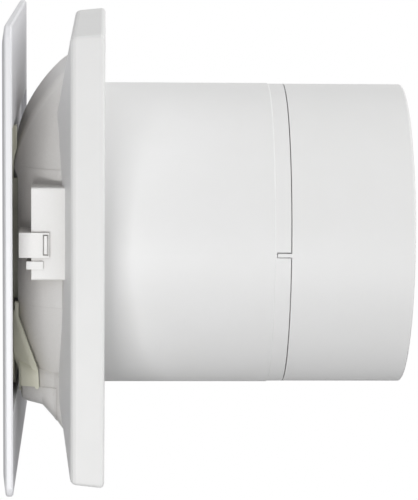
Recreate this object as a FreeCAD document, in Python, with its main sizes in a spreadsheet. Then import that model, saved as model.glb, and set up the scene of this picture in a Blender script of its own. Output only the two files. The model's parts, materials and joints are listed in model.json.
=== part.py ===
import FreeCAD, Part
import math
import os
import Sketcher

# Bathroom extractor fan for a 125 mm duct.
# Frame: origin on the duct axis in the wall plane, +Y into the wall (air flow), +Z up,
# X across the wall. The front panel looks along -Y. Millimetres and degrees.

os.makedirs("parts", exist_ok=True)
doc = FreeCAD.newDocument("extractor_fan")

DRIVING_SIZES = {
    # front panel: square plate with a raised face and four posts
    "panel_width": 182.0, "panel_corner": 4.0, "panel_back": 35.1, "panel_edge": 2.9,
    "panel_crown": 1.3, "panel_rim": 0.6, "panel_bevel": 15.0, "recess_half": 88.4, "recess_low": 58.5,
    "recess_high": 52.0, "recess_corner": 3.0, "recess_deep": 2.3, "post_place": 31.0,
    "post_high": 27.0, "post_low": 39.0, "post_radius": 2.5, "post_end": 23.0,
    # cowl: flange skirt, crowned front and dome
    "skirt_half": 87.8, "skirt_draft": 0.9, "skirt_deep": 12.9, "skirt_wall": 2.2,
    "skirt_corner": 1.4, "crown_inner": 40.0, "crown_rise": 8.4,
    "dome_root_half": 69.4, "dome_root_deep": 15.0, "dome_front_deep": 35.9,
    "dome_root_high": 72.6, "dome_root_ridge": 70.4, "dome_ridge": 46.0,
    "dome_front_half": 51.5, "dome_front_high": 41.0, "dome_front_low": 46.0,
    "dome_front_ridge": 33.6, "dome_low_ridge": 40.0, "shell_side": 1.4, "shell_deep": 1.6,
    "lobe_front": 33.3, "lobe_half": 53.0, "lobe_low": 61.2, "lobe_top": -45.0,
    "lobe_corner": 6.0, "lobe_step": 54.5,
    "mouth_half": 40.0, "mouth_high": 35.0, "mouth_low": 48.0, "notch_half": 43.0,
    "pad_face": 72.6, "pad_low": -8.7, "pad_high": 27.5, "pad_front": 28.4,
    "eye_face": 73.9, "eye_front": 33.2, "eye_back": 21.4, "eye_low": 0.3, "eye_high": 10.1,
    "band_low": -20.6, "band_high": 33.2, "pad_edge": 0.7,
    # ivory inlet frame
    "frame_front": 37.0, "frame_plate": 0.9, "frame_half": 46.0, "frame_low": 57.0,
    "frame_high": 39.0, "frame_corner": 14.0, "frame_wall": 1.6, "rail_back": 34.4,
    "rail_low": -20.0, "rail_high": 28.0, "stop_high": 48.7, "cheek_high": -24.0,
    "cheek_low": -54.3,
    # tube, wall plate and rear section
    "tube_radius": 62.0, "collar_radius": 64.0, "tail_radius": 61.75, "bore_radius": 59.6,
    "tube_front": 14.0, "step_at": 66.8, "seam_at": 73.2, "seam_gap": 0.4, "tail_end": 122.4,
    "plate_half": 85.2, "plate_thick": 3.0, "plate_corner": 5.0,
    "sleeve_outer": 59.5, "sleeve_inner": 57.9, "sleeve_start": 61.2, "key_start": 68.0,
    "wall_hole_place": 72.0, "wall_hole_radius": 2.4, "cable_x": -45.0, "cable_z": -70.0,
    "cable_radius": 5.0,
    # impeller, bellmouth and bracket
    "liner_inner": 56.8, "liner_outer": 59.5, "liner_end": 20.0, "tip_radius": 55.6,
    "hub_radius": 25.5, "hub_front": 8.0, "hub_end": 18.0, "cup_outer": 25.0,
    "cup_inner": 23.2, "cup_front": 22.0, "cup_end": 54.5, "ring_end": 61.2,
    # motor
    "bell_radius": 22.4, "bell_wall": 1.4, "motor_front": 21.5, "motor_split": 37.0,
    "motor_end": 52.5, "core_outer": 20.6, "core_inner": 10.7, "core_front": 29.5,
    "core_end": 44.5, "rotor_radius": 10.3, "shaft_radius": 2.0, "bearing_radius": 6.5,
    "bearing_length": 5.0,
    # back-draught shutter
    "seat_radius": 54.5, "seat_end": 76.2, "rod_y": 79.6, "rod_radius": 1.2,
    "barrel_radius": 2.3, "flap_radius": 56.2, "flap_front": 76.5, "flap_thick": 1.0,
    # terminals and lead
    "terminal_top": -65.5, "terminal_deep": 10.6, "lead_radius": 1.2, "lead_track": 58.15,
}

sheet = doc.addObject("Spreadsheet::Sheet", "Sizes")
for row, (alias, number) in enumerate(DRIVING_SIZES.items(), start=1):
    sheet.set(f"A{row}", alias)
    sheet.set(f"B{row}", str(number))
    sheet.setAlias(f"B{row}", alias)
doc.recompute()


class Dim:
    """A length that knows both its number and the sheet expression behind it."""

    def __init__(self, number, text):
        self.number = float(number)
        self.text = text

    def _join(self, other, sign, number, flip=False):
        other = dim(other)
        pair = (other.text, self.text) if flip else (self.text, other.text)
        return Dim(number, f"({pair[0]} {sign} {pair[1]})")

    def __add__(self, other):
        return self._join(other, "+", self.number + dim(other).number)

    def __radd__(self, other):
        return self._join(other, "+", dim(other).number + self.number, flip=True)

    def __sub__(self, other):
        return self._join(other, "-", self.number - dim(other).number)

    def __rsub__(self, other):
        return self._join(other, "-", dim(other).number - self.number, flip=True)

    def __mul__(self, other):
        return self._join(other, "*", self.number * dim(other).number)

    def __rmul__(self, other):
        return self._join(other, "*", dim(other).number * self.number, flip=True)

    def __neg__(self):
        return Dim(-self.number, f"(-1 * {self.text})")


def dim(value):
    return value if isinstance(value, Dim) else Dim(value, f"{float(value):.6f}")


class Sizes:
    """Reads a driving size from the sheet as a Dim: S.panel_width."""

    def __getattr__(self, alias):
        return Dim(sheet.get(alias), f"Sizes.{alias}")


S = Sizes()
V = FreeCAD.Vector
NODES = []


def bind(feature, prop, value):
    """Sets a property to a number and ties it to the sheet."""
    value = dim(value)
    if "." not in prop:
        setattr(feature, prop, value.number)
    feature.setExpression(prop, value.text)


# ---- sketches ---------------------------------------------------------------------------

def new_body(label):
    body = doc.addObject("PartDesign::Body", "Body")
    body.Label = label
    return body


def sketch_on(body, role, offset=0):
    """A sketch on one of the body's own origin planes, moved along the plane's normal."""
    sketch = body.newObject("Sketcher::SketchObject", "Profile")
    plane = next(item for item in body.Origin.OriginFeatures if item.Role == role)
    sketch.AttachmentSupport = [(plane, "")]
    sketch.MapMode = "FlatFace"
    bind(sketch, "AttachmentOffset.Base.z", offset)
    return sketch


def constrain(sketch, kind, *place_and_value):
    *place, value = place_and_value
    value = dim(value)
    index = sketch.addConstraint(Sketcher.Constraint(kind, *place, value.number))
    sketch.setExpression(f"Constraints[{index}]", value.text)


def pin(sketch, geometry, point, x, y):
    """Holds one point at x, y from the sketch's origin."""
    for kind, axis, value in (("DistanceX", -2, dim(x)), ("DistanceY", -1, dim(y))):
        if abs(value.number) < 1e-9:
            sketch.addConstraint(Sketcher.Constraint("PointOnObject", geometry, point, axis))
        else:
            constrain(sketch, kind, -1, 1, geometry, point, value)


def polygon(sketch, points):
    corners = [V(dim(x).number, dim(y).number, 0) for x, y in points]
    first = sketch.GeometryCount
    count = len(corners)
    for index in range(count):
        sketch.addGeometry(Part.LineSegment(corners[index], corners[(index + 1) % count]))
    for index in range(count):
        following = first + (index + 1) % count
        sketch.addConstraint(Sketcher.Constraint("Coincident", first + index, 2, following, 1))
    for index, (x, y) in enumerate(points):
        pin(sketch, first + index, 1, x, y)


def rounded_box(sketch, left, right, low, high, corner):
    """Four lines joined by four tangent arcs of one radius."""
    x0, x1, y0, y1, r = (dim(value).number for value in (left, right, low, high, corner))
    first = sketch.GeometryCount
    ends = [
        (V(x0 + r, y0, 0), V(x1 - r, y0, 0)), (V(x1, y0 + r, 0), V(x1, y1 - r, 0)),
        (V(x1 - r, y1, 0), V(x0 + r, y1, 0)), (V(x0, y1 - r, 0), V(x0, y0 + r, 0)),
    ]
    centres = [(x1 - r, y0 + r), (x1 - r, y1 - r), (x0 + r, y1 - r), (x0 + r, y0 + r)]
    for side, (cx, cy) in zip(range(4), centres):
        sketch.addGeometry(Part.LineSegment(*ends[side]))
        start = math.pi * (side - 1) / 2
        arc_of = Part.Circle(V(cx, cy, 0), V(0, 0, 1), r)
        sketch.addGeometry(Part.ArcOfCircle(arc_of, start, start + math.pi / 2))
    for side in range(4):
        line = first + 2 * side
        arc = line + 1
        following = first + (2 * side + 2) % 8
        sketch.addConstraint(Sketcher.Constraint("Tangent", line, 2, arc, 1))
        sketch.addConstraint(Sketcher.Constraint("Tangent", arc, 2, following, 1))
        kind = "Horizontal" if side % 2 == 0 else "Vertical"
        sketch.addConstraint(Sketcher.Constraint(kind, line))
        if side:
            sketch.addConstraint(Sketcher.Constraint("Equal", first + 1, arc))
    constrain(sketch, "Radius", first + 1, corner)
    constrain(sketch, "DistanceY", -1, 1, first, 1, low)
    constrain(sketch, "DistanceX", -1, 1, first + 2, 1, right)
    constrain(sketch, "DistanceY", -1, 1, first + 4, 1, high)
    constrain(sketch, "DistanceX", -1, 1, first + 6, 1, left)


# ---- solids -----------------------------------------------------------------------------

def revolved(label, outline, body=None):
    """A solid turned about the duct axis from (radius, y) points."""
    body = body or new_body(label)
    sketch = sketch_on(body, "XY_Plane")
    polygon(sketch, outline)
    turn = body.newObject("PartDesign::Revolution", "Turned")
    turn.Profile = (sketch, [""])
    turn.ReferenceAxis = (sketch, ["V_Axis"])
    turn.Angle = 360
    return body


def slab(label, y_from, y_to, draw):
    """A solid of one outline in the XZ plane, from y_from to y_to along the duct."""
    body = new_body(label)
    sketch = sketch_on(body, "XZ_Plane", -dim(y_from))
    draw(sketch)
    pad = body.newObject("PartDesign::Pad", "Slab")
    pad.Profile = (sketch, [""])
    pad.Reversed = True
    bind(pad, "Length", dim(y_to) - y_from)
    return body


def prism_x(label, x_from, x_to, points):
    """A solid of one outline of (y, z) points, from x_from to x_to."""
    body = new_body(label)
    sketch = sketch_on(body, "YZ_Plane", x_from)
    polygon(sketch, points)
    pad = body.newObject("PartDesign::Pad", "Prism")
    pad.Profile = (sketch, [""])
    bind(pad, "Length", dim(x_to) - x_from)
    return body


def box(label, x, y, z):
    """A block between pairs of values."""
    block = doc.addObject("Part::Box", "Block")
    block.Label = label
    for prop, axis, (low, high) in (("Length", "x", x), ("Width", "y", y), ("Height", "z", z)):
        bind(block, prop, dim(high) - low)
        bind(block, f"Placement.Base.{axis}", low)
    return block


AXIS_TURNS = {
    "x": FreeCAD.Rotation(V(0, 1, 0), 90),
    "y": FreeCAD.Rotation(V(1, 0, 0), -90),
    "z": FreeCAD.Rotation(),
}


def rod(label, axis, start, length, radius):
    """A cylinder from its start point along +x, +y or +z."""
    cylinder = doc.addObject("Part::Cylinder", "Rod")
    cylinder.Label = label
    cylinder.Placement = FreeCAD.Placement(V(), AXIS_TURNS[axis])
    bind(cylinder, "Radius", radius)
    bind(cylinder, "Height", length)
    for name, value in zip("xyz", start):
        bind(cylinder, f"Placement.Base.{name}", value)
    return cylinder


def screw(label, axis, start, length, radius, head_radius, head_length, head_first=True):
    """A pan-head screw: its head is at the start, or past the far end."""
    index = "xyz".index(axis)
    head_start = list(start)
    step = -dim(head_length) if head_first else dim(length)
    head_start[index] = dim(start[index]) + step
    shank = rod(f"{label} shank", axis, start, length, radius)
    head = rod(f"{label} head", axis, head_start, head_length, head_radius)
    return fuse(label, [shank, head])


def fuse(label, shapes):
    union = doc.addObject("Part::MultiFuse", "Union")
    union.Label = label
    union.Shapes = shapes
    return union


def group(label, shapes):
    """Separate solids that share one node."""
    together = doc.addObject("Part::Compound", "Group")
    together.Label = label
    together.Links = shapes
    return together


def cut(label, base, tools):
    difference = doc.addObject("Part::Cut", "Difference")
    difference.Label = label
    difference.Base = base
    difference.Tool = tools[0] if len(tools) == 1 else fuse(f"{label} tools", tools)
    return difference


def common(label, shapes):
    overlap = doc.addObject("Part::MultiCommon", "Overlap")
    overlap.Label = label
    overlap.Shapes = shapes
    return overlap


def mirrored(label, source):
    """The same piece on the other side of the YZ plane."""
    mirror = doc.addObject("Part::Mirroring", "Mirror")
    mirror.Label = label
    mirror.Source = source
    mirror.Normal = V(1, 0, 0)
    return mirror


def turned(label, source, degrees):
    """A linked copy of a piece, turned about the duct axis."""
    copy = doc.addObject("Part::Compound", "Turned")
    copy.Label = label
    copy.Links = [source]
    copy.Placement = FreeCAD.Placement(V(), FreeCAD.Rotation(V(0, 1, 0), degrees))
    return copy


def rounded_edges(label, base, radius, chosen):
    """Rounds the edges of a piece whose shape passes the test."""
    doc.recompute()
    edges = [number for number, edge in enumerate(base.Shape.Edges, start=1) if chosen(edge)]
    if not edges:
        raise ValueError(f"{label}: no edge to round")
    fillet = doc.addObject("Part::Fillet", "Rounded")
    fillet.Label = label
    fillet.Base = base
    value = dim(radius).number
    fillet.Edges = [(number, value, value) for number in edges]
    return fillet


def ring_at(radius, y):
    """Test for a full circle about the duct axis."""
    radius, y = dim(radius).number, dim(y).number

    def test(edge):
        curve = edge.Curve
        if not isinstance(curve, Part.Circle):
            return False
        return abs(curve.Radius - radius) < 0.01 and abs(edge.BoundBox.YMin - y) < 0.01
    return test


def node(name, feature):
    """Registers a finished sub-part under its file name."""
    feature.Label = name
    NODES.append((name, feature))
    return feature


# ---- front panel ------------------------------------------------------------------------

def square(sketch, half, corner):
    rounded_box(sketch, -dim(half), half, -dim(half), half, corner)


def loft(label, sections, ruled):
    """A body through sketches in XZ planes: each section is (depth, left-right half,
    lower half, upper half, corner), with depth measured from the wall towards the room."""
    body = new_body(label)
    sketches = []
    for depth, half, low, high, corner in sections:
        sketch = sketch_on(body, "XZ_Plane", depth)
        rounded_box(sketch, -dim(half), half, -dim(low), high, corner)
        sketches.append(sketch)
    solid = body.newObject("PartDesign::AdditiveLoft", "Loft")
    solid.Profile = (sketches[0], [""])
    solid.Sections = sketches[1:]
    solid.Ruled = ruled
    return body


def panel_posts(radius, y_from, y_to, label):
    """Four round posts, two high and two low, along the duct axis."""
    posts = []
    for side in (-1, 1):
        for height in (S.post_high, -S.post_low):
            length = dim(y_to) - y_from
            start = (S.post_place * side, y_from, height)
            posts.append(rod(f"{label} {len(posts)}", "y", start, length, radius))
    return posts


def make_front_panel():
    half = S.panel_width * 0.5
    edge_front = S.panel_back + S.panel_edge
    rim = half - S.panel_rim
    plate = loft("panel plate", [
        (S.panel_back, rim, rim, rim, S.panel_corner),
        (S.panel_back + S.panel_rim, half, half, half, S.panel_corner),
        (edge_front - S.panel_rim, half, half, half, S.panel_corner),
        (edge_front, rim, rim, rim, S.panel_corner),
    ], True)
    raised = half - S.panel_bevel
    face = loft("panel face", [
        (edge_front, rim, rim, rim, S.panel_corner),
        (edge_front + S.panel_crown * 0.78, half - S.panel_bevel * 0.42,
         half - S.panel_bevel * 0.42, half - S.panel_bevel * 0.42, S.panel_corner),
        (edge_front + S.panel_crown, raised, raised, raised, S.panel_corner),
    ], True)
    recess = slab("panel recess", -(S.panel_back + S.recess_deep), -S.panel_back + 1,
                  lambda sketch: rounded_box(sketch, -S.recess_half, S.recess_half,
                                             -S.recess_low, S.recess_high, S.recess_corner))
    blank = cut("panel blank", fuse("panel solid", [plate, face]), [recess])
    floor = -(S.panel_back + S.recess_deep)
    posts = panel_posts(S.post_radius, floor, -S.post_end, "panel post")
    stiffeners = []
    for side in (-1, 1):
        across = S.post_place * side
        stiffeners.append(box(f"panel rib {side}", (across - 0.8, across + 0.8),
                              (floor, floor + 0.3), (-S.post_low, S.post_high)))
    node("front_panel", fuse("panel", [blank] + posts + stiffeners))


# ---- cowl -------------------------------------------------------------------------------

DOME_STEPS = 8


def dome_fall(share):
    """How far the dome still stands out at a share of its depth: 1 at the root, 0 in front."""
    return (1 - min(share, 1.0) ** 1.25) ** 0.66


def barrel_section(body, depth, half, low, high, low_ridge, high_ridge, ridge):
    """A closed section of bowed sides and arched top and bottom with four small corners."""
    sketch = sketch_on(body, "XZ_Plane", depth)
    inner, outer, drop = ridge - 3.5, ridge + 2.0, 4.0
    upper, lower = high_ridge + 0.4, -low_ridge - 0.4
    corners = [
        (V(inner, lower, 0), V(ridge, lower + 1.4, 0), V(outer, lower + 0.4 + drop, 0)),
        (V(outer, upper - 0.4 - drop, 0), V(ridge, upper - 1.4, 0), V(inner, upper, 0)),
        (V(-inner, upper, 0), V(-ridge, upper - 1.4, 0), V(-outer, upper - 0.4 - drop, 0)),
        (V(-outer, lower + 0.4 + drop, 0), V(-ridge, lower + 1.4, 0), V(-inner, lower, 0)),
    ]
    crests = [V(half, 0, 0), V(0, high, 0), V(-half, 0, 0), V(0, -low, 0)]
    for index, corner in enumerate(corners):
        following = corners[(index + 1) % 4]
        sketch.addGeometry(Part.Arc(*corner))
        sketch.addGeometry(Part.Arc(corner[2], crests[index], following[0]))
    for index in range(8):
        sketch.addConstraint(Sketcher.Constraint("Block", index))
    return sketch


def dome(label, outward=0, towards_wall=0):
    """The dome: bowed sides and an arched top that meet in a soft ridge on each side."""
    body = new_body(label)
    sections = []
    for step in range(DOME_STEPS + 1):
        share = math.sin(math.pi / 2 * step / DOME_STEPS)
        fall = dome_fall(share)
        depth = S.dome_root_deep + (S.dome_front_deep - S.dome_root_deep) * share
        sizes = []
        for root, front in ((S.dome_root_half, S.dome_front_half),
                            (S.dome_root_high, S.dome_front_low),
                            (S.dome_root_high, S.dome_front_high),
                            (S.dome_root_ridge, S.dome_low_ridge),
                            (S.dome_root_ridge, S.dome_front_ridge)):
            sizes.append((front + (root - front) * fall + outward).number)
        ridge = S.dome_ridge.number + dim(outward).number
        sections.append(barrel_section(body, depth - towards_wall, *sizes, ridge))
    solid = body.newObject("PartDesign::AdditiveLoft", "Loft")
    solid.Profile = (sections[0], [""])
    solid.Sections = sections[1:]
    solid.Ruled = False
    return body


def lobe(label, outward=0, towards_wall=0):
    """The box-like lower lobe, which deepens and widens towards the flange."""
    front = S.lobe_front - towards_wall
    steps = ((0.0, -2.6, -2.6), (0.9, -0.9, -0.9), (2.8, 0.0, 0.0), (8.8, 2.0, 1.1),
             (13.3, 4.0, 5.8), (16.8, 6.5, 10.3), (18.8, 7.0, 11.0))
    sections = []
    for back, wider, lower in steps:
        corner = S.lobe_corner + min(wider, 0.0) + outward
        sections.append((front - back, S.lobe_half + wider + outward,
                         S.lobe_low + lower + outward, S.lobe_top + outward, corner))
    return loft(label, sections, True)


def cowl_front(label, outward=0, towards_wall=0):
    """Dome and lobe together."""
    return fuse(label, [dome(f"{label} dome", outward, towards_wall),
                        lobe(f"{label} lobe", outward, towards_wall)])


def at_depth(depth):
    """Test for an edge that lies wholly in one plane across the duct."""
    y = -dim(depth).number

    def test(edge):
        return abs(edge.BoundBox.YMin - y) < 0.01 and abs(edge.BoundBox.YMax - y) < 0.01
    return test


def skirt():
    """The flange skirt with its rounded edges and crowned front, as a solid."""
    outer = S.skirt_half
    front = outer - S.skirt_draft
    rows = [
        (0, outer - 1.6), (0.25, outer - 0.8), (0.8, outer - 0.2), (1.6, outer),
        (S.skirt_deep - 1.9, front), (S.skirt_deep - 0.8, front - 0.3),
        (S.skirt_deep + 0.05, front - 1.1), (S.skirt_deep + 0.4, front - 2.2),
        (S.skirt_deep + S.crown_rise, S.crown_inner),
    ]
    return loft("cowl skirt", [(depth, half, half, half, S.skirt_corner)
                               for depth, half in rows], True)


def skirt_room():
    """The space inside the flange skirt."""
    outer = S.skirt_half - S.skirt_wall
    front = outer - S.skirt_draft
    rows = [(-1, outer), (S.skirt_deep - S.shell_deep, front),
            (S.skirt_deep + S.crown_rise - S.shell_deep, S.crown_inner)]
    return loft("cowl skirt room", [(depth, half, half, half, 1.0) for depth, half in rows],
                True)


def cowl_side_details():
    """Pad, snap eye and small guide on one side of the cowl."""
    def long_edge(edge):
        box_of = edge.BoundBox
        flat = box_of.ZLength < 0.01 and box_of.XLength < 0.01
        return flat and abs(box_of.XMax - S.pad_face.number) < 0.01

    pad = box("cowl pad", (S.pad_face - 20, S.pad_face), (-S.pad_front, -14.0),
              (S.pad_low, S.pad_high))
    pad = rounded_edges("cowl pad, soft", pad, S.pad_edge, long_edge)
    eye = box("cowl eye", (S.eye_face - 19, S.eye_face), (-S.eye_front, -S.eye_back),
              (S.eye_low, S.eye_high))
    eye = cut("cowl eye with window", eye, [eye_window()])
    guide = box("cowl guide", (S.pad_face - 14, S.eye_face - 0.4), (-30.3, -23.8), (-4.3, -1.2))
    return [pad, eye, guide]


def eye_window():
    """The narrow slot round the nib in the end of the snap eye."""
    outer = box("eye slot outside", (S.eye_face - 1.1, S.eye_face + 1),
                (-S.eye_back - 2.5, -S.eye_back - 0.35), (S.eye_low + 0.9, S.eye_high - 0.7))
    nib = box("eye nib", (S.eye_face - 2, S.eye_face + 2),
              (-S.eye_back - 2.05, -S.eye_back - 0.75), (S.eye_low + 1.4, S.eye_high - 1.2))
    return cut("eye slot", outer, [nib])


def make_cowl(cowl_screw):
    side_band = common("cowl side band", [
        dome("dome band", 0.3, -0.1),
        box("band limits", (-90, 90), (-S.rail_back, -16.5), (S.band_low, S.band_high)),
    ])
    lower_step = common("lobe step", [
        lobe("lobe step outside", 0.3, -0.15),
        box("step limits", (-90, 90), (-33.0, -19), (-90, -S.lobe_step)),
    ])
    details = cowl_side_details()
    both_sides = details + [mirrored(f"far {piece.Label}", piece) for piece in details]
    outside = fuse("dome outside", [cowl_front("cowl outside"), side_band, lower_step]
                   + both_sides)
    inside = cowl_front("cowl inside", -S.shell_side, S.shell_deep)
    mouth = slab("cowl mouth", -40, -30, lambda sketch: rounded_box(
        sketch, -S.mouth_half, S.mouth_half, -S.mouth_low, S.mouth_high, 15))
    slots = [box(f"intake slot {index}", (-33 + 11.5 * index, -33 + 11.5 * index + 9.5),
                 (-31.0, -19.5), (-80, -50)) for index in range(6)]
    notch = prism_x("side notch", S.notch_half.number, 60, [
        (-40, S.rail_low - 6), (-36.0, S.rail_low - 4), (-34.2, S.rail_low - 1),
        (-34.2, S.rail_high + 0.6), (-36.1, S.rail_high + 5), (-40, S.rail_high + 6)])
    notches = [notch, mirrored("far side notch", notch)]
    node("cowl_dome", cut("cowl dome", outside, [inside, mouth] + slots + notches))
    node("front_cowl", cut("front cowl", skirt(), [skirt_room(), outside, cowl_screw]))


# ---- ivory inlet frame ------------------------------------------------------------------

def frame_stop(front):
    """The small block on the frame's upper corner, outside the dome's rim."""
    block = box("corner stop", (S.frame_half - 5, S.frame_half), (front, -34.8),
                (S.frame_high - 9, S.stop_high))
    groove = box("stop groove", (S.frame_half - 0.5, S.frame_half + 1), (-36.1, -35.4),
                 (S.frame_high, S.stop_high + 1))
    return cut("stop clear of the cowl", block, [dome("stop keepout", 0.3, -0.15), groove])


def make_inlet_frame():
    front = -S.frame_front
    plate_back = -(S.frame_front - S.frame_plate)
    plate = slab("frame plate", front, plate_back, lambda sketch: rounded_box(
        sketch, -S.frame_half, S.frame_half, -S.frame_low, S.frame_high, S.frame_corner))
    opening = slab("frame opening", front - 1, -30, lambda sketch: rounded_box(
        sketch, -35, 35, -41, 30, 14))
    sleeve = slab("frame sleeve", front, -31.5, lambda sketch: rounded_box(
        sketch, -S.mouth_half + 0.4, S.mouth_half - 0.4, -S.mouth_low + 0.4,
        S.mouth_high - 0.4, 14.6))
    hollow = slab("frame hollow", plate_back + 1.2, -30, lambda sketch: rounded_box(
        sketch, -S.mouth_half + 2, S.mouth_half - 2, -S.mouth_low + 2, S.mouth_high - 2, 13))
    ring = cut("frame ring", fuse("frame blank", [plate, sleeve]), [opening, hollow])
    rim = S.frame_half - S.frame_wall
    rail = box("side rail", (rim, S.frame_half), (front, -S.rail_back),
               (S.rail_low, S.rail_high))
    outline = [
        (plate_back - 0.2, S.cheek_high), (-S.rail_back - 0.4, S.cheek_high), (-27.3, -47.6),
        (-26.8, S.cheek_low), (-S.lobe_front + 0.2, S.cheek_low),
        (-S.lobe_front + 0.2, S.cheek_low - 1.9), (plate_back - 0.2, S.cheek_low - 1.9),
    ]
    cheek = cut("cheek", common("cheek sheet", [
        cowl_front("cheek outside", 1.1, -0.7), prism_x("cheek outline", 30, 75, outline)]),
        [cowl_front("cheek inside", 0.3, -0.15)])
    bead_outline = [
        (-35.4, S.cheek_high + 4), (-33.9, S.cheek_high + 4), (-33.9, -26), (-26.3, -47.2),
        (-25.9, -54.2), (-26.3, -54.9), (-27.1, -54.9), (-27.6, -54.2), (-28.5, -48),
        (-35.4, -26),
    ]
    bead = cut("bead", common("bead bar", [
        cowl_front("bead outside", 2.3, -1.4), prism_x("bead outline", 30, 75, bead_outline)]),
        [cowl_front("bead inside", 0.3, -0.15)])
    sides = [rail, cheek, bead]
    sockets = panel_posts(S.post_radius + 2.1, front, -26, "post socket")
    bores = panel_posts(S.post_radius + 0.06, front - 1, -25, "post bore")
    solid = fuse("frame solid", [ring, frame_stop(front)] + sides + sockets
                 + [mirrored(f"far {piece.Label}", piece) for piece in sides])
    node("inlet_frame", cut("frame", solid, bores))


# ---- wall plate with tube ---------------------------------------------------------------

CLAMP_SCREW_HEIGHTS = (-66.2, -76.2)
BELLMOUTH_SCREW_ANGLES = (35, 145, 215, 325)
BELLMOUTH_SCREW_CIRCLE = 67.5


def around(radius, degrees):
    """X and Z of a place round the duct axis, 0 at +X and 90 at +Z."""
    angle = math.radians(degrees)
    return dim(radius) * math.cos(angle), dim(radius) * math.sin(angle)


def wall_hole_places():
    return [(S.wall_hole_place * x, S.wall_hole_place * z) for x in (-1, 1) for z in (-1, 1)]


def key_tongue(label, gap):
    """The alignment key across the seam; a gap of 0 gives the tongue, more its slot."""
    ring = revolved(f"{label} ring", [
        (S.bore_radius - 0.1 - gap, S.key_start - gap), (S.tail_radius + gap, S.key_start - gap),
        (S.tail_radius + gap, S.seam_at + 1), (S.bore_radius - 0.1 - gap, S.seam_at + 1)])
    bar = box(f"{label} bar", (50, 70), (S.key_start - 2, S.seam_at + 2),
              (-1.2 - gap, 0.3 + gap * 1.6))
    return common(label, [ring, bar])


def make_duct_tube():
    tube = revolved("main tube", [
        (S.bore_radius, -S.tube_front), (S.collar_radius, -S.tube_front),
        (S.collar_radius, 0), (S.tube_radius, 0), (S.tube_radius, S.step_at),
        (S.tail_radius, S.step_at + 0.4), (S.tail_radius, S.seam_at),
        (S.bore_radius, S.seam_at)])
    pocket = box("terminal pocket", (-14.5, 14.5), (-12.4, -S.plate_thick), (-65, -62.3))
    node("duct_tube", cut("duct tube", tube, [key_tongue("key slot", 0.3), pocket,
                                              lead_hole("tube lead hole")]))
    return tube


def lead_hole(label):
    return rod(label, "z", (0, -8.1, -67), 10, S.lead_radius + 0.8)


def make_wall_plate(tube, screws, seal_groove):
    plate = slab("wall plate", -S.plate_thick, 0,
                 lambda sketch: square(sketch, S.plate_half, S.plate_corner))
    ribs = []
    for index, degrees in enumerate((0, 25, 60, 120, 155, 180, 205, 335)):
        rib = box(f"rib {index}", (S.collar_radius - 1, S.collar_radius + 7),
                  (-S.tube_front + 2, -S.plate_thick + 0.5), (-0.8, 0.8))
        ribs.append(turned(f"rib turned {index}", rib, -degrees))
    bosses = []
    for degrees in BELLMOUTH_SCREW_ANGLES:
        x, z = around(BELLMOUTH_SCREW_CIRCLE, degrees)
        bosses.append(rod(f"boss {degrees}", "y", (x, -S.tube_front, z),
                          S.tube_front - 1, 4))
    for z in CLAMP_SCREW_HEIGHTS:
        bosses.append(rod(f"clamp boss {z}", "y", (-29, -6.6, z), 4.6, 2.4))
    lid_boss = rod("lid boss", "y", (24, -S.terminal_deep, -72), S.terminal_deep - 1, 2.8)
    lug = box("cowl lug", (-5, 5), (-10.4, -1), (-84.0, -81.0))
    feet = [box(f"terminal foot {z}", (-13, 13), (-4, -2.5), (z, z + 2)) for z in (-77, -69)]
    solid = fuse("wall plate solid", [plate, lid_boss, lug] + ribs + bosses + feet)
    holes = []
    for index, (x, z) in enumerate(wall_hole_places()):
        holes.append(rod(f"wall hole {index}", "y", (x, -10, z), 20, S.wall_hole_radius))
    holes.append(rod("cable hole", "y", (S.cable_x, -10, S.cable_z), 20, S.cable_radius + 2))
    bore = rod("plate bore", "y", (0, -20, 0), 30, S.bore_radius)
    node("wall_plate", cut("wall plate with holes", solid, holes + [
        tube, bore, seal_groove, lead_hole("plate lead hole")] + screws))


def make_wall_seal():
    def seal_strip(label, extra):
        outer = slab(f"{label} outside", -1, extra,
                     lambda sketch: square(sketch, S.plate_half - 3, S.plate_corner - 1))
        inner = slab(f"{label} inside", -2, extra + 1,
                     lambda sketch: square(sketch, S.plate_half - 8, 2.5))
        return cut(label, outer, [inner])
    node("wall_seal", seal_strip("seal", 0))
    return seal_strip("seal groove", 0.5)


# ---- bellmouth, impeller and bracket ----------------------------------------------------

def lead_channel(label):
    """Channel along the lowest line of the liner and ring, where the lead runs."""
    return box(label, (-S.lead_radius - 0.2, S.lead_radius + 0.2), (-30, 60.5),
               (-60.2, -S.liner_inner + 0.5))


def make_bellmouth(screws):
    flare = revolved("bellmouth flare", [
        (S.liner_outer, -S.tube_front), (S.tube_radius + 2.4, -S.tube_front),
        (S.tube_radius + 2.4, -S.tube_front - 3.2), (S.liner_outer + 2.2, -S.tube_front - 3.4),
        (S.liner_outer - 0.4, -S.tube_front - 1.2), (S.liner_inner + 0.7, -S.tube_front + 3),
        (S.liner_inner, -S.tube_front + 8), (S.liner_inner, S.liner_end),
        (S.liner_outer, S.liner_end)])
    ears = []
    for degrees in BELLMOUTH_SCREW_ANGLES:
        x, z = around(BELLMOUTH_SCREW_CIRCLE, degrees)
        ears.append(rod(f"ear {degrees}", "y", (x, -S.tube_front - 2, z), 2, 4))
    keep = rod("ear limit", "y", (0, -30, 0), 40, S.liner_inner + 1)
    solid = fuse("bellmouth solid", [cut("ears outside throat", fuse("ears", ears), [keep]),
                                     flare])
    node("bellmouth_ring", cut("bellmouth", solid, screws + [lead_channel("liner channel")]))


def make_bellmouth_screws():
    screws = []
    for degrees in BELLMOUTH_SCREW_ANGLES:
        x, z = around(BELLMOUTH_SCREW_CIRCLE, degrees)
        start = (x, -S.tube_front - 2, z)
        screws.append(screw(f"bellmouth screw {degrees}", "y", start, 10, 1.4, 2.7, 1.6))
    node("bellmouth_screws", group("bellmouth screws", screws))
    return screws


BLADES = 7


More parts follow.
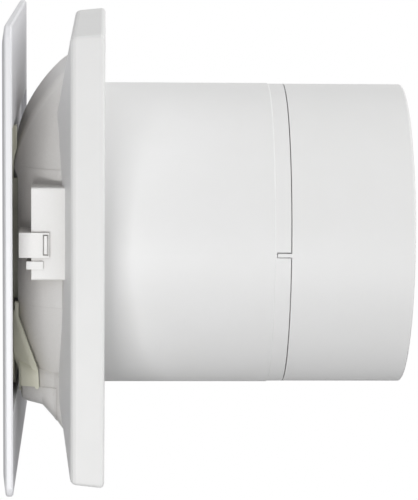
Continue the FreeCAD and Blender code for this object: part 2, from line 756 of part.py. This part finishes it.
def blade_section(body, radius, chord, pitch, thick, middle):
    """A lens-shaped blade section across a radius, pitched from the wheel's plane."""
    sketch = sketch_on(body, "YZ_Plane", radius)
    angle = math.radians(pitch)
    along = V(math.sin(angle), math.cos(angle), 0)
    across = V(-along.y, along.x, 0)
    centre = V(dim(middle).number, 0, 0)
    tail, nose = centre - along * (chord / 2), centre + along * (chord / 2)
    camber = chord * 0.09
    for bulge in (camber + thick / 2, camber - thick / 2):
        crest = centre + across * bulge
        sketch.addGeometry(Part.Arc(tail, crest, nose))
    sketch.addConstraint(Sketcher.Constraint("Coincident", 0, 1, 1, 1))
    sketch.addConstraint(Sketcher.Constraint("Coincident", 0, 2, 1, 2))
    for index in range(2):
        sketch.addConstraint(Sketcher.Constraint("Block", index))
    return sketch


def make_impeller():
    body = revolved("impeller wheel", [
        (S.shaft_radius, -S.hub_front + 3), (S.hub_radius - 9, -S.hub_front),
        (S.hub_radius - 3, -S.hub_front + 2.2), (S.hub_radius, -S.hub_front + 7),
        (S.hub_radius, S.hub_end), (S.hub_radius - 1.6, S.hub_end),
        (S.hub_radius - 1.6, -S.hub_front + 8), (6, -S.hub_front + 5.4), (6, 14),
        (S.shaft_radius, 14)])
    middle = 5.0
    sections = [
        blade_section(body, S.hub_radius - 1.4, 23, 52, 1.9, middle),
        blade_section(body, 40, 31, 64, 1.6, middle),
        blade_section(body, S.tip_radius - 1.2, 37, 71, 1.3, middle),
    ]
    blade = body.newObject("PartDesign::AdditiveLoft", "Blade")
    blade.Profile = (sections[0], [""])
    blade.Sections = sections[1:]
    doc.recompute()
    pattern = body.newObject("PartDesign::PolarPattern", "Blades")
    pattern.Originals = [blade]
    y_axis = next(item for item in body.Origin.OriginFeatures if item.Role == "Y_Axis")
    pattern.Axis = (y_axis, [""])
    pattern.Angle = 360
    pattern.Occurrences = BLADES
    body.Tip = pattern
    limit = rod("tip limit", "y", (0, -20, 0), 50, S.tip_radius)
    node("impeller", common("impeller", [body, limit]))


def make_impeller_nut():
    nut = revolved("nut", [
        (S.shaft_radius, -S.hub_front - 0.6), (3.6, -S.hub_front - 0.6),
        (4.2, -S.hub_front), (4.2, -S.hub_front + 2.4), (S.shaft_radius, -S.hub_front + 3)])
    node("impeller_nut", nut)


VANES = 7


def make_motor_bracket():
    ring = revolved("bracket ring", [
        (S.liner_inner, S.liner_end), (S.liner_outer, S.liner_end),
        (S.liner_outer, S.ring_end), (S.liner_inner, S.ring_end)])
    cup = revolved("motor cup", [
        (S.cup_inner, S.cup_front), (S.cup_outer, S.cup_front), (S.cup_outer, S.cup_end - 3),
        (S.cup_outer - 3, S.cup_end), (8, S.cup_end), (8, S.cup_end - 1.6),
        (S.cup_inner, S.cup_end - 1.6)])
    vanes = []
    for index in range(VANES):
        vane = prism_x(f"vane {index}", S.cup_outer - 0.8, S.liner_inner + 1, [
            (S.cup_front + 3, -6.5), (S.cup_front + 5, -7.6), (S.cup_front + 17, -1.6),
            (S.cup_front + 31, 0.9), (S.cup_front + 31, 2.5), (S.cup_front + 16, 0.2)])
        vanes.append(turned(f"vane turned {index}", vane, -90 + 360 * index / VANES))
    vents = []
    for index in range(6):
        vent = box(f"cup vent {index}", (11, 19), (S.cup_end - 4, S.cup_end + 1), (-1.5, 1.5))
        vents.append(turned(f"cup vent turned {index}", vent, 60 * index))
    lead_way = rod("cup lead hole", "y", (0, S.cup_end - 5, -12), 9, S.lead_radius + 0.3)
    solid = fuse("bracket solid", [ring, cup] + vanes)
    node("motor_bracket", cut("bracket", solid, vents + [lead_way,
                                                        lead_channel("ring channel")]))


# ---- motor ------------------------------------------------------------------------------

def bell(label, end, split, seat):
    """One end bell: a cup from the split plane to its end, with a bearing seat."""
    inward = 1 if split.number > end.number else -1
    wall = S.bell_wall * inward
    return revolved(label, [
        (S.shaft_radius + 1, end), (S.bell_radius - 3, end),
        (S.bell_radius, end + 3.0 * inward), (S.bell_radius, split),
        (S.core_outer, split), (S.core_outer, end + wall + 1.6 * inward),
        (S.core_outer - 1.6, end + wall), (S.bearing_radius + 1.6, end + wall),
        (S.bearing_radius + 1.6, end + seat * inward), (S.bearing_radius, end + seat * inward),
        (S.bearing_radius, end + 1.0 * inward), (S.shaft_radius + 1, end + 1.0 * inward)])


def make_motor():
    seat = S.bearing_length + 1.0
    screws = []
    for index in range(4):
        x, z = around(18.1, 45 + 90 * index)
        start = (x, S.motor_front, z)
        screws.append(screw(f"motor screw {index}", "y", start, 29.5, 1.2, 2.2, 1.2))
    node("motor_screws", group("motor screws", screws))
    front = bell("front bell", S.motor_front, S.motor_split, seat)
    rear = bell("rear bell", S.motor_end, S.motor_split, seat)
    lead_way = rod("bell lead hole", "y", (0, S.motor_end - 4, -12), 9, S.lead_radius + 0.05)
    node("motor_front_bell", cut("front bell with holes", front, screws))
    node("motor_rear_bell", cut("rear bell with holes", rear, screws + [lead_way]))
    mount_ring("front_mount_ring", S.cup_front + 2)
    mount_ring("rear_mount_ring", S.cup_front + 22)
    make_stator(screws)
    bearing("front_bearing", S.motor_front + 1.0)
    bearing("rear_bearing", S.motor_end - 1.0 - S.bearing_length)
    node("rotor", revolved("rotor", [
        (S.shaft_radius, S.core_front - 0.5), (S.rotor_radius - 2, S.core_front - 0.5),
        (S.rotor_radius, S.core_front), (S.rotor_radius, S.core_end),
        (S.rotor_radius - 2, S.core_end + 0.5), (S.shaft_radius, S.core_end + 0.5)]))
    shaft = rod("shaft", "y", (0, -S.hub_front - 1.5, 0), S.motor_end + 1.4 + S.hub_front,
                S.shaft_radius)
    node("motor_shaft", shaft)


def mount_ring(name, start):
    node(name, revolved(name, [
        (S.bell_radius, start), (S.cup_inner, start), (S.cup_inner, start + 5),
        (S.bell_radius, start + 5)]))


def bearing(name, start):
    """Ball bearing as one closed ring with a groove on each face."""
    node(name, revolved(name, [
        (S.shaft_radius + 0.02, start), (3.2, start), (3.4, start + 0.4), (5.2, start + 0.4),
        (5.4, start), (S.bearing_radius, start), (S.bearing_radius, start + S.bearing_length),
        (5.4, start + S.bearing_length), (5.2, start + S.bearing_length - 0.4),
        (3.4, start + S.bearing_length - 0.4), (3.2, start + S.bearing_length),
        (S.shaft_radius + 0.02, start + S.bearing_length)]))


def make_stator(screws):
    length = S.core_end - S.core_front
    ring = revolved("core ring", [
        (S.core_outer - 4.8, S.core_front), (S.core_outer, S.core_front),
        (S.core_outer, S.core_end), (S.core_outer - 4.8, S.core_end)])
    poles = []
    coils = []
    for index in range(4):
        pole = box(f"pole {index}", (9, S.core_outer - 3), (S.core_front, S.core_end), (-3, 3))
        poles.append(turned(f"pole turned {index}", pole, 90 * index))
        coil = box(f"coil {index}", (11.4, 14.7), (S.core_front - 2.6, S.core_end + 2.6),
                   (-5.0, 5.0))
        gap = box(f"coil gap {index}", (5, S.core_outer - 3), (S.core_front, S.core_end),
                  (-3, 3))
        coil = cut(f"coil wound {index}", coil, [gap])
        coils.append(turned(f"coil turned {index}", coil, 90 * index))
    shoe = rod("rotor space", "y", (0, S.core_front - 1, 0), length + 2, S.core_inner)
    core = cut("core", fuse("core solid", [ring] + poles), [shoe] + screws)
    node("stator_core", core)
    node("stator_windings", cut("windings", group("coils", coils), screws))


def make_motor_lead():
    """Sheathed lead: out of the motor, down behind the vanes, forward under the liner and
    down into the terminals. It lies in the plane X = 0."""
    track = -S.lead_track.number
    points = [(S.motor_end.number - 1, -12), (58.3, -12), (58.3, track), (-8.5, track),
              (-8.5, S.terminal_top.number)]
    bend = 2.6
    path = rounded_path([V(0, y, z) for y, z in points], bend)
    section = Part.Wire(Part.Circle(V(0, points[0][0], points[0][1]), V(0, 1, 0),
                                    S.lead_radius.number).toShape())
    solid = path.makePipeShell([section], True, False)
    lead = doc.addObject("Part::Feature", "Lead")
    lead.Shape = solid
    lead.Placement = FreeCAD.Placement()
    node("motor_lead", lead)


def rounded_path(points, radius):
    """Straight runs joined by tangent arcs of one radius."""
    edges = []
    start = points[0]
    for before, corner, after in zip(points, points[1:], points[2:]):
        back = (before - corner).normalize()
        ahead = (after - corner).normalize()
        reach = radius / math.tan(back.getAngle(ahead) / 2)
        enter, leave = corner + back * reach, corner + ahead * reach
        centre_way = (back + ahead).normalize()
        centre = corner + centre_way * (radius / math.sin(back.getAngle(ahead) / 2))
        middle = centre - centre_way * radius
        edges.append(Part.LineSegment(start, enter).toShape())
        edges.append(Part.Arc(enter, middle, leave).toShape())
        start = leave
    edges.append(Part.LineSegment(start, points[-1]).toShape())
    return Part.Wire(edges)


# ---- rear section and shutter -----------------------------------------------------------

def make_rear_duct():
    tail_start = S.seam_at + S.seam_gap
    duct = revolved("rear duct tube", [
        (S.sleeve_inner, S.sleeve_start), (S.sleeve_outer, S.sleeve_start),
        (S.sleeve_outer, tail_start), (S.tail_radius, tail_start),
        (S.tail_radius, S.tail_end), (S.bore_radius, S.tail_end), (S.bore_radius, S.seat_end),
        (S.sleeve_inner, S.seat_end)])
    soft = rounded_edges("rear duct, soft end", duct, 0.8, ring_at(S.tail_radius, S.tail_end))
    node("rear_duct", fuse("rear duct", [soft, key_tongue("key tongue", 0)]))


def make_damper_frame():
    """The ring, middle bar and rod holders that carry the shutter inside the rear duct."""
    ring = revolved("seat ring", [
        (S.seat_radius, S.seat_end - 1.8), (S.sleeve_inner, S.seat_end - 4),
        (S.sleeve_inner, S.seat_end), (S.bore_radius, S.seat_end),
        (S.bore_radius, S.seat_end + 1.5), (S.flap_radius + 1, S.seat_end + 1.5),
        (S.flap_radius + 1, S.seat_end), (S.seat_radius, S.seat_end)])
    bar = box("middle bar", (-3, 3), (S.seat_end - 1.8, S.seat_end),
              (-S.seat_radius - 1, S.seat_radius + 1))
    holders = []
    for side in (-1, 1):
        low, high = sorted((56.7 * side, 59.9 * side))
        holder = box(f"rod holder block {side}", (-4, 4), (S.seat_end, S.rod_y + 3.4),
                     (low, high))
        limit = rod(f"rod holder limit {side}", "y", (0, 70, 0), 20, S.bore_radius)
        holders.append(common(f"rod holder {side}", [holder, limit]))
    seat = rod("rod seat", "z", (0, S.rod_y, -59.0), 118, S.rod_radius)
    solid = fuse("damper frame solid", [ring, bar] + holders)
    node("damper_frame", cut("damper frame", solid, [seat]))
    node("damper_rod", rod("damper rod", "z", (0, S.rod_y, -59.0), 118, S.rod_radius))


RIGHT_KNUCKLES = ((-48, -30), (6, 24))
LEFT_KNUCKLES = ((-24, -6), (30, 48))


def make_flap(name, knuckles, side):
    """One half-moon flap with its barrels on the upright rod."""
    disc = rod(f"{name} disc", "y", (0, S.flap_front, 0), S.flap_thick, S.flap_radius)
    keep_x = (2.9, S.flap_radius + 1) if side > 0 else (-S.flap_radius - 1, -2.9)
    half = box(f"{name} half", keep_x, (S.flap_front - 1, S.flap_front + 3), (-60, 60))
    pieces = [common(f"{name} sheet", [disc, half])]
    for low, high in knuckles:
        pieces.append(rod(f"{name} barrel {low}", "z", (0, S.rod_y, low), high - low,
                          S.barrel_radius))
        tab_x = (0.9, 3.4) if side > 0 else (-3.4, -0.9)
        pieces.append(box(f"{name} tab {low}", tab_x, (S.flap_front, S.rod_y - 0.6),
                          (low, high)))
    rib_x = (3.0, 46) if side > 0 else (-46, -3.0)
    for height in (-18, 18):
        pieces.append(box(f"{name} rib {height}", rib_x,
                          (S.flap_front + S.flap_thick - 0.1, S.flap_front + S.flap_thick + 1.2),
                          (height - 0.5, height + 0.5)))
    bore = rod(f"{name} bore", "z", (0, S.rod_y, -60), 120, S.rod_radius + 0.06)
    node(name, cut(f"{name} with bore", fuse(f"{name} solid", pieces), [bore]))


def make_damper_springs():
    springs = []
    for low in (-29.2, 24.8):
        outer = rod(f"spring outside {low}", "z", (0, S.rod_y, low), 4.4, S.barrel_radius)
        inner = rod(f"spring inside {low}", "z", (0, S.rod_y, low - 1), 6.4,
                    S.barrel_radius - 0.7)
        springs.append(cut(f"spring {low}", outer, [inner]))
    node("damper_springs", group("damper springs", springs))


# ---- terminals and cable entry ----------------------------------------------------------

def make_terminals():
    block = box("terminal body", (-13, 13), (-S.terminal_deep, -4), (-78, S.terminal_top))
    ways = [box(f"wire way {x}", (x - 1.8, x + 1.8), (-8, -5), (-79, -75)) for x in (-8, 0, 8)]
    screws = []
    for x in (-8, 0, 8):
        for z in (-75, -68.5):
            start = (x, -S.terminal_deep + 1.2, z)
            screws.append(screw(f"terminal screw {x} {z}", "y", start, 2.4, 1.1, 1.7, 0.9))
    wells = [rod(f"screw well {x} {z}", "y", (x, -S.terminal_deep - 1, z), 2.2, 2.1)
             for x in (-8, 0, 8) for z in (-75, -68.5)]
    node("terminal_block", cut("terminal block", block, ways + wells + screws))
    node("terminal_screws", group("terminal screws", screws))
    lid_screw = screw("lid screw", "y", (24, -S.terminal_deep - 1, -72), 8, 1.2, 2.4, 0.9)
    shell = box("cover outside", (-54, 28), (-S.terminal_deep - 1, -3.2), (-80.4, -62.6))
    hollow = box("cover inside", (-53, 27), (-S.terminal_deep, -3), (-79.4, -63.6))
    way = box("cover lead way", (-2, 2), (-11.2, -3), (-66, -62))
    round_tube = rod("cover tube relief", "y", (0, -20, 0), 30, S.tube_radius + 0.4)
    node("terminal_cover", cut("cover", shell, [hollow, way, round_tube, lid_screw,
                                                rod("lid boss way", "y", (24, -11, -72), 9,
                                                    3.0)]))
    node("terminal_cover_screw", lid_screw)
    clamp_screws = []
    for z in CLAMP_SCREW_HEIGHTS:
        clamp_screws.append(screw(f"clamp screw {z}", "y", (-29, -9.2, z), 5, 1.1, 1.9, 0.9))
    bar = box("clamp bar", (-31.6, -26.4), (-9.2, -6.6), (-78.4, -64.0))
    arch = rod("clamp arch", "x", (-33, -6.2, -71.2), 8, 2.0)
    node("cable_clamp", cut("clamp", bar, [arch] + clamp_screws))
    node("cable_clamp_screws", group("clamp screws", clamp_screws))
    rim = rod("grommet rim", "y", (S.cable_x, -S.plate_thick - 1.4, S.cable_z), 1.4,
              S.cable_radius + 1.0)
    neck = rod("grommet neck", "y", (S.cable_x, -S.plate_thick, S.cable_z), S.plate_thick,
               S.cable_radius + 2)
    bore = rod("grommet bore", "y", (S.cable_x, -10, S.cable_z), 12, S.cable_radius - 1.6)
    node("cable_grommet", cut("grommet", fuse("grommet solid", [rim, neck]), [bore]))
    return [lid_screw] + clamp_screws


def make_cowl_screw():
    start = (0, -7.0, -89.2)
    cowl_screw = screw("cowl screw", "z", start, 8.2, 1.4, 2.6, 1.4)
    well = rod("cowl screw well", "z", (0, -7.0, -91), 1.8, 2.8)
    node("cowl_screw", cowl_screw)
    return fuse("cowl screw space", [cowl_screw, well]), cowl_screw


# ---- assembly ---------------------------------------------------------------------------

def check_document():
    doc.recompute()
    for item in doc.Objects:
        if "Invalid" in item.State or "Error" in item.State:
            raise RuntimeError(f"{item.Label}: {item.State}")
    for name, feature in NODES:
        shape = feature.Shape
        if shape.isNull() or not shape.isValid() or shape.Volume <= 0:
            raise RuntimeError(f"{name} has no valid solid")


def main():
    make_front_panel()
    cowl_screw_space, cowl_screw = make_cowl_screw()
    make_cowl(cowl_screw_space)
    make_inlet_frame()
    bellmouth_screws = make_bellmouth_screws()
    make_bellmouth(bellmouth_screws)
    make_impeller()
    make_impeller_nut()
    make_motor_bracket()
    make_motor()
    make_motor_lead()
    make_rear_duct()
    make_damper_frame()
    make_flap("damper_flap_right", RIGHT_KNUCKLES, 1)
    make_flap("damper_flap_left", LEFT_KNUCKLES, -1)
    make_damper_springs()
    plate_screws = make_terminals()
    make_wall_plate(make_duct_tube(), bellmouth_screws + plate_screws + [cowl_screw],
                    make_wall_seal())
    check_document()
    for name, feature in NODES:
        feature.Shape.exportStep(f"parts/{name}.step")
        print(f"{name:24s} {feature.Shape.Volume:12.1f} mm3  {len(feature.Shape.Solids)} solids")


main()
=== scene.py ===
"""Looks, light and camera for the bathroom extractor fan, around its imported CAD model."""

import json

import bmesh
import bpy
from mathutils import Matrix, Vector

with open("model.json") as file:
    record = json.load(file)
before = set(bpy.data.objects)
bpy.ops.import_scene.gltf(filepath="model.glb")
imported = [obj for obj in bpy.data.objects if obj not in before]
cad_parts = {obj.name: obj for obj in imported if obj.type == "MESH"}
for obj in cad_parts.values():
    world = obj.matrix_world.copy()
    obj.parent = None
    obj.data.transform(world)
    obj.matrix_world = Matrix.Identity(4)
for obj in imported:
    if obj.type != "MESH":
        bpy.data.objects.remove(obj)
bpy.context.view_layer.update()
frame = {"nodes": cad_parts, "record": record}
NODES = frame["nodes"]
SCENE = bpy.context.scene


# ---------------------------------------------------------------- camera

LENS = 184.85
SENSOR_HEIGHT = 36.0
CAMERA_PLACE = (1.05677, 0.00037, 0.15199)
CAMERA_RIGHT = (0.03935, 0.99919, 0.00863)
CAMERA_BACK = (0.98799, -0.04020, 0.14919)


def make_camera():
    """A long lens beside the fan and slightly above it, nearly square to its side."""
    data = bpy.data.cameras.new("camera")
    data.sensor_fit = "VERTICAL"
    data.sensor_height = SENSOR_HEIGHT
    data.lens = LENS
    data.clip_start = 0.05
    data.clip_end = 20.0
    camera = bpy.data.objects.new("camera", data)
    SCENE.collection.objects.link(camera)
    back = Vector(CAMERA_BACK).normalized()
    up = back.cross(Vector(CAMERA_RIGHT)).normalized()
    right = up.cross(back)
    turn = Matrix((right, up, back)).transposed().to_4x4()
    camera.matrix_world = Matrix.Translation(CAMERA_PLACE) @ turn
    SCENE.camera = camera


make_camera()


# ---------------------------------------------------------------- node helpers

# The Mix node's colour sockets share their names with its other kinds, so they go by number.
MIX_COLOUR_A = 6
MIX_COLOUR_B = 7
MIX_COLOUR_RESULT = 2


class Nodes:
    """Adds shader nodes to one tree and links them."""

    def __init__(self, tree):
        self.tree = tree

    def add(self, kind, inputs=None, **settings):
        made = self.tree.nodes.new("ShaderNode" + kind)
        for name, value in settings.items():
            setattr(made, name, value)
        for name, value in (inputs or {}).items():
            self.feed(made.inputs[name], value)
        return made

    def feed(self, socket, value):
        if isinstance(value, bpy.types.NodeSocket):
            self.tree.links.new(value, socket)
        else:
            socket.default_value = value

    def place(self):
        """Object coordinates in metres: the row frame."""
        return self.add("TexCoord").outputs["Object"]

    def noise(self, scale, detail=2.0, rough=0.5, place=None, distortion=0.0):
        made = self.add("TexNoise", {
            "Vector": place or self.place(), "Scale": scale, "Detail": detail,
            "Roughness": rough, "Distortion": distortion})
        return made.outputs["Fac"]

    def span(self, value, low, high, new_low, new_high):
        made = self.add("MapRange", {
            "Value": value, "From Min": low, "From Max": high,
            "To Min": new_low, "To Max": new_high})
        return made.outputs["Result"]

    def math(self, operation, a, b=0.0, c=0.0):
        made = self.tree.nodes.new("ShaderNodeMath")
        made.operation = operation
        for socket, value in zip(made.inputs, (a, b, c)):
            self.feed(socket, value)
        return made.outputs["Value"]

    def blend(self, share, a, b):
        """Colour a where share is 0, and b where it is 1."""
        made = self.add("Mix", data_type="RGBA")
        self.feed(made.inputs["Factor"], share)
        self.feed(made.inputs[MIX_COLOUR_A], a)
        self.feed(made.inputs[MIX_COLOUR_B], b)
        return made.outputs[MIX_COLOUR_RESULT]

    def bump(self, height, strength, distance, normal=None):
        inputs = {"Height": height, "Strength": strength, "Distance": distance}
        if normal is not None:
            inputs["Normal"] = normal
        return self.add("Bump", inputs).outputs["Normal"]


def colour(red, green, blue):
    return (red, green, blue, 1.0)


def emptied(owner):
    """Node helpers for a material's or world's tree, cleared."""
    owner.use_nodes = True
    owner.node_tree.nodes.clear()
    return Nodes(owner.node_tree)


def new_material(name):
    """An empty material with a Principled shader: (material, nodes, shader)."""
    material = bpy.data.materials.new(name)
    nodes = emptied(material)
    shader = nodes.add("BsdfPrincipled")
    nodes.add("OutputMaterial", {"Surface": shader.outputs["BSDF"]})
    return material, nodes, shader


# Painted crease shade: how far the ambient occlusion looks, in metres.
PAINTED_SHADE_REACH = 0.06


def plastic(name, light, dark, rough=0.42, grain=0.00002, grain_scale=2600.0,
            flow=0.03, specular=0.42, coat=0.0, painted_crease_shade=None):
    """Moulded plastic: two close tones, fine mould grain, faint flow and handling marks.

    The crease tone is painted shade: it is mixed into the colour where ambient occlusion finds
    the surface closed in, standing in for the shade that falls there.
    """
    material, nodes, shader = new_material(name)
    place = nodes.place()
    broad = nodes.noise(9.0, 3.0, 0.55, place)
    cloudy = nodes.noise(46.0, 4.0, 0.6, place, 0.4)
    share = nodes.math("MULTIPLY_ADD", broad, 0.65, nodes.math("MULTIPLY", cloudy, 0.35))
    base = nodes.blend(nodes.span(share, 0.35, 0.65, 0.0, 1.0), light, dark)
    # Painted shade: the crease tone darkens the colour where ambient occlusion finds the surface
    # closed in.
    if painted_crease_shade:
        around = nodes.add("AmbientOcclusion", {"Distance": PAINTED_SHADE_REACH}, samples=8)
        openness = nodes.span(around.outputs["AO"], 0.12, 0.55, 0.0, 1.0)
        base = nodes.blend(openness, painted_crease_shade, base)
    pointed = nodes.add("NewGeometry").outputs["Pointiness"]
    worn = nodes.span(pointed, 0.53, 0.62, 0.0, 0.35)
    nodes.feed(shader.inputs["Base Color"], nodes.blend(worn, base, light))
    smear = nodes.noise(130.0, 5.0, 0.65, place, 1.5)
    nodes.feed(shader.inputs["Roughness"], nodes.span(
        smear, 0.3, 0.7, rough - flow, rough + flow))
    pits = nodes.noise(grain_scale, 2.0, 0.5, place)
    waves = nodes.noise(60.0, 1.0, 0.4, place)
    fine = nodes.bump(pits, 0.35, grain)
    nodes.feed(shader.inputs["Normal"], nodes.bump(waves, 0.25, grain * 4, fine))
    shader.inputs["Specular IOR Level"].default_value = specular
    shader.inputs["Coat Weight"].default_value = coat
    shader.inputs["Coat Roughness"].default_value = 0.25
    return material


def metal(name, light, dark, rough=0.32, stretch=(1.0, 1.0, 1.0), scale=900.0,
          depth=0.000015, spread=0.10):
    """Worked metal: noise drawn out along one axis for the marks of its making."""
    material, nodes, shader = new_material(name)
    mapped = nodes.add("Mapping", {"Vector": nodes.place(), "Scale": stretch})
    lines = nodes.noise(scale, 3.0, 0.6, mapped.outputs["Vector"])
    stains = nodes.noise(70.0, 4.0, 0.6)
    share = nodes.math("MULTIPLY_ADD", lines, 0.5, nodes.math("MULTIPLY", stains, 0.5))
    nodes.feed(shader.inputs["Base Color"], nodes.blend(
        nodes.span(share, 0.35, 0.65, 0.0, 1.0), light, dark))
    nodes.feed(shader.inputs["Roughness"], nodes.span(
        lines, 0.3, 0.7, rough - spread, rough + spread))
    nodes.feed(shader.inputs["Normal"], nodes.bump(lines, 0.4, depth))
    shader.inputs["Metallic"].default_value = 1.0
    return material


# ---------------------------------------------------------------- materials

# By the record's material slot, and dome_white_painted_shade, which only cowl_dome wears: the
# cowl's white plastic again, painted lighter in the open and darker in its creases, as painted
# light and shade.
MATERIALS = {
    "panel_white": plastic("panel white", colour(0.80, 0.80, 0.825), colour(0.775, 0.775, 0.80),
                           rough=0.34, specular=0.5, coat=0.08),
    "cowl_white": plastic("cowl white", colour(0.77, 0.77, 0.765), colour(0.745, 0.745, 0.74),
                          rough=0.46, grain=0.00003),
    # Painted light and shade: the same white as the cowl, lighter where open and darkened in
    # creases.
    "dome_white_painted_shade": plastic("dome white painted shade", colour(0.86, 0.855, 0.845), colour(0.83, 0.825, 0.81),
                          rough=0.38, grain=0.00003, specular=0.5,
                          painted_crease_shade=colour(0.50, 0.48, 0.455)),
    "tube_white": plastic("tube white", colour(0.80, 0.80, 0.80), colour(0.775, 0.775, 0.77),
                          rough=0.44, grain=0.00003),
    "flap_white": plastic("flap white", colour(0.76, 0.76, 0.75), colour(0.72, 0.72, 0.71)),
    "ivory_plastic": plastic("ivory plastic", colour(0.80, 0.79, 0.66), colour(0.76, 0.75, 0.62),
                             rough=0.42),
    "bracket_grey": plastic("bracket grey", colour(0.42, 0.43, 0.44), colour(0.38, 0.39, 0.40),
                            rough=0.5),
    "wheel_white": plastic("wheel plastic", colour(0.70, 0.70, 0.67), colour(0.66, 0.66, 0.63),
                           rough=0.4),
    "seal_foam": plastic("seal foam", colour(0.05, 0.05, 0.052), colour(0.03, 0.03, 0.032),
                         rough=0.92, grain=0.0003, grain_scale=900.0, specular=0.2),
    "black_rubber": plastic("black rubber", colour(0.022, 0.022, 0.023),
                            colour(0.012, 0.012, 0.013), rough=0.62, specular=0.35),
    "lead_sheath": plastic("lead sheath", colour(0.66, 0.66, 0.65), colour(0.60, 0.60, 0.59),
                           rough=0.5),
    "terminal_plastic": plastic("terminal plastic", colour(0.70, 0.70, 0.67),
                                colour(0.66, 0.66, 0.63), rough=0.38),
    "bell_steel": metal("bell steel", colour(0.60, 0.60, 0.58), colour(0.48, 0.48, 0.45),
                        rough=0.38, stretch=(1.0, 0.2, 1.0)),
    "core_steel": metal("core steel", colour(0.34, 0.34, 0.35), colour(0.20, 0.20, 0.21),
                        rough=0.45, stretch=(0.1, 3.0, 0.1), scale=700.0, depth=0.00012),
    "copper_wire": metal("copper wire", colour(0.62, 0.27, 0.10), colour(0.45, 0.17, 0.06),
                         rough=0.3, stretch=(1.0, 1.0, 0.2), scale=900.0, depth=0.00015),
    "rotor_steel": metal("rotor steel", colour(0.46, 0.46, 0.46), colour(0.36, 0.36, 0.36),
                         rough=0.3, stretch=(0.2, 4.0, 0.2)),
    "shaft_steel": metal("shaft steel", colour(0.66, 0.66, 0.67), colour(0.56, 0.56, 0.57),
                         rough=0.2, stretch=(4.0, 0.2, 4.0), spread=0.06),
    "bearing_steel": metal("bearing steel", colour(0.70, 0.70, 0.72), colour(0.62, 0.62, 0.64),
                           rough=0.12, spread=0.04),
    "screw_steel": metal("screw steel", colour(0.66, 0.66, 0.63), colour(0.50, 0.50, 0.48),
                         rough=0.3),
    "spring_steel": metal("spring steel", colour(0.55, 0.55, 0.56), colour(0.42, 0.42, 0.43),
                          rough=0.26, spread=0.08),
    "terminal_brass": metal("terminal brass", colour(0.72, 0.56, 0.26),
                            colour(0.58, 0.44, 0.20), rough=0.28),
}

for part in frame["record"]["subparts"]:
    shown = NODES[part["node"]]
    shown.data.materials.clear()
    # cowl_dome takes the lighter copy with painted crease shade instead of its own slot.
    slot = "dome_white_painted_shade" if part["node"] == "cowl_dome" else part["material_slot"]
    shown.data.materials.append(MATERIALS[slot])


# ---------------------------------------------------------------- studio

WHITE = colour(1.0, 1.0, 1.0)
FLOOR_DULL = colour(0.30, 0.30, 0.30)
FLOOR_HEIGHT = -0.5
FLOOR_REACH = 12.0


def seen_and_lit(nodes, lit, seen):
    """One shader for the fan's light, and another for what the eye sees directly."""
    direct = nodes.add("LightPath").outputs["Is Camera Ray"]
    mixed = nodes.add("MixShader", {"Fac": direct})
    nodes.feed(mixed.inputs[1], lit.outputs[0])
    nodes.feed(mixed.inputs[2], seen.outputs[0])
    return mixed.outputs[0]


def make_floor():
    """A plain white floor well below the fan, bright to the eye and dull to the fan."""
    mesh = bpy.data.meshes.new("floor")
    built = bmesh.new()
    bmesh.ops.create_grid(built, x_segments=1, y_segments=1, size=FLOOR_REACH)
    built.to_mesh(mesh)
    built.free()
    floor = bpy.data.objects.new("floor", mesh)
    floor.location = (0.0, 0.0, FLOOR_HEIGHT)
    SCENE.collection.objects.link(floor)
    material = bpy.data.materials.new("floor white")
    nodes = emptied(material)
    dull = nodes.add("BsdfDiffuse", {"Color": FLOOR_DULL})
    bright = nodes.add("Emission", {"Color": WHITE, "Strength": 1.0})
    nodes.add("OutputMaterial", {"Surface": seen_and_lit(nodes, dull, bright)})
    mesh.materials.append(material)


# How strongly the studio sky lights the fan from each end of an axis, in the row frame.
SKY = (("X", -1.0, 0.50), ("Y", 1.0, 2.10), ("Y", -1.0, 0.35), ("Z", 1.0, 1.10))


def make_world():
    """A studio sky: white behind the fan, brighter from both ends of the duct and above."""
    world = bpy.data.worlds.new("studio")
    SCENE.world = world
    nodes = emptied(world)
    parts = nodes.add("SeparateXYZ", {"Vector": nodes.add("TexCoord").outputs["Generated"]})
    level = None
    for axis, sign, strength in SKY:
        facing = nodes.math("MULTIPLY", parts.outputs[axis], sign)
        lobe = nodes.math("POWER", nodes.math("MAXIMUM", facing, 0.0), 2.0)
        lobe = nodes.math("MULTIPLY", lobe, strength)
        level = lobe if level is None else nodes.math("ADD", level, lobe)
    soft = nodes.add("Background", {"Color": WHITE, "Strength": level})
    plain = nodes.add("Background", {"Color": WHITE, "Strength": 1.0})
    nodes.add("OutputWorld", {"Surface": seen_and_lit(nodes, soft, plain)})


def area_light(name, place, target, size, power):
    """A soft rectangular light that the camera doesn't see, aimed at a point of the fan."""
    data = bpy.data.lights.new(name, "AREA")
    data.shape = "RECTANGLE"
    data.size, data.size_y = size
    data.energy = power
    light = bpy.data.objects.new(name, data)
    SCENE.collection.objects.link(light)
    light.location = place
    light.visible_camera = False
    way = Vector(target) - Vector(place)
    light.rotation_euler = way.to_track_quat("-Z", "Y").to_euler()


make_floor()
make_world()
area_light("low fill", (0.7, 0.3, -0.45), (0, 0.05, 0), (0.9, 0.9), 2.6)
area_light("low key", (1.5, -0.36, -0.30), (0, -0.02, -0.03), (0.5, 0.15), 9.5)

SCENE.view_settings.view_transform = "Standard"
SCENE.view_settings.look = "None"
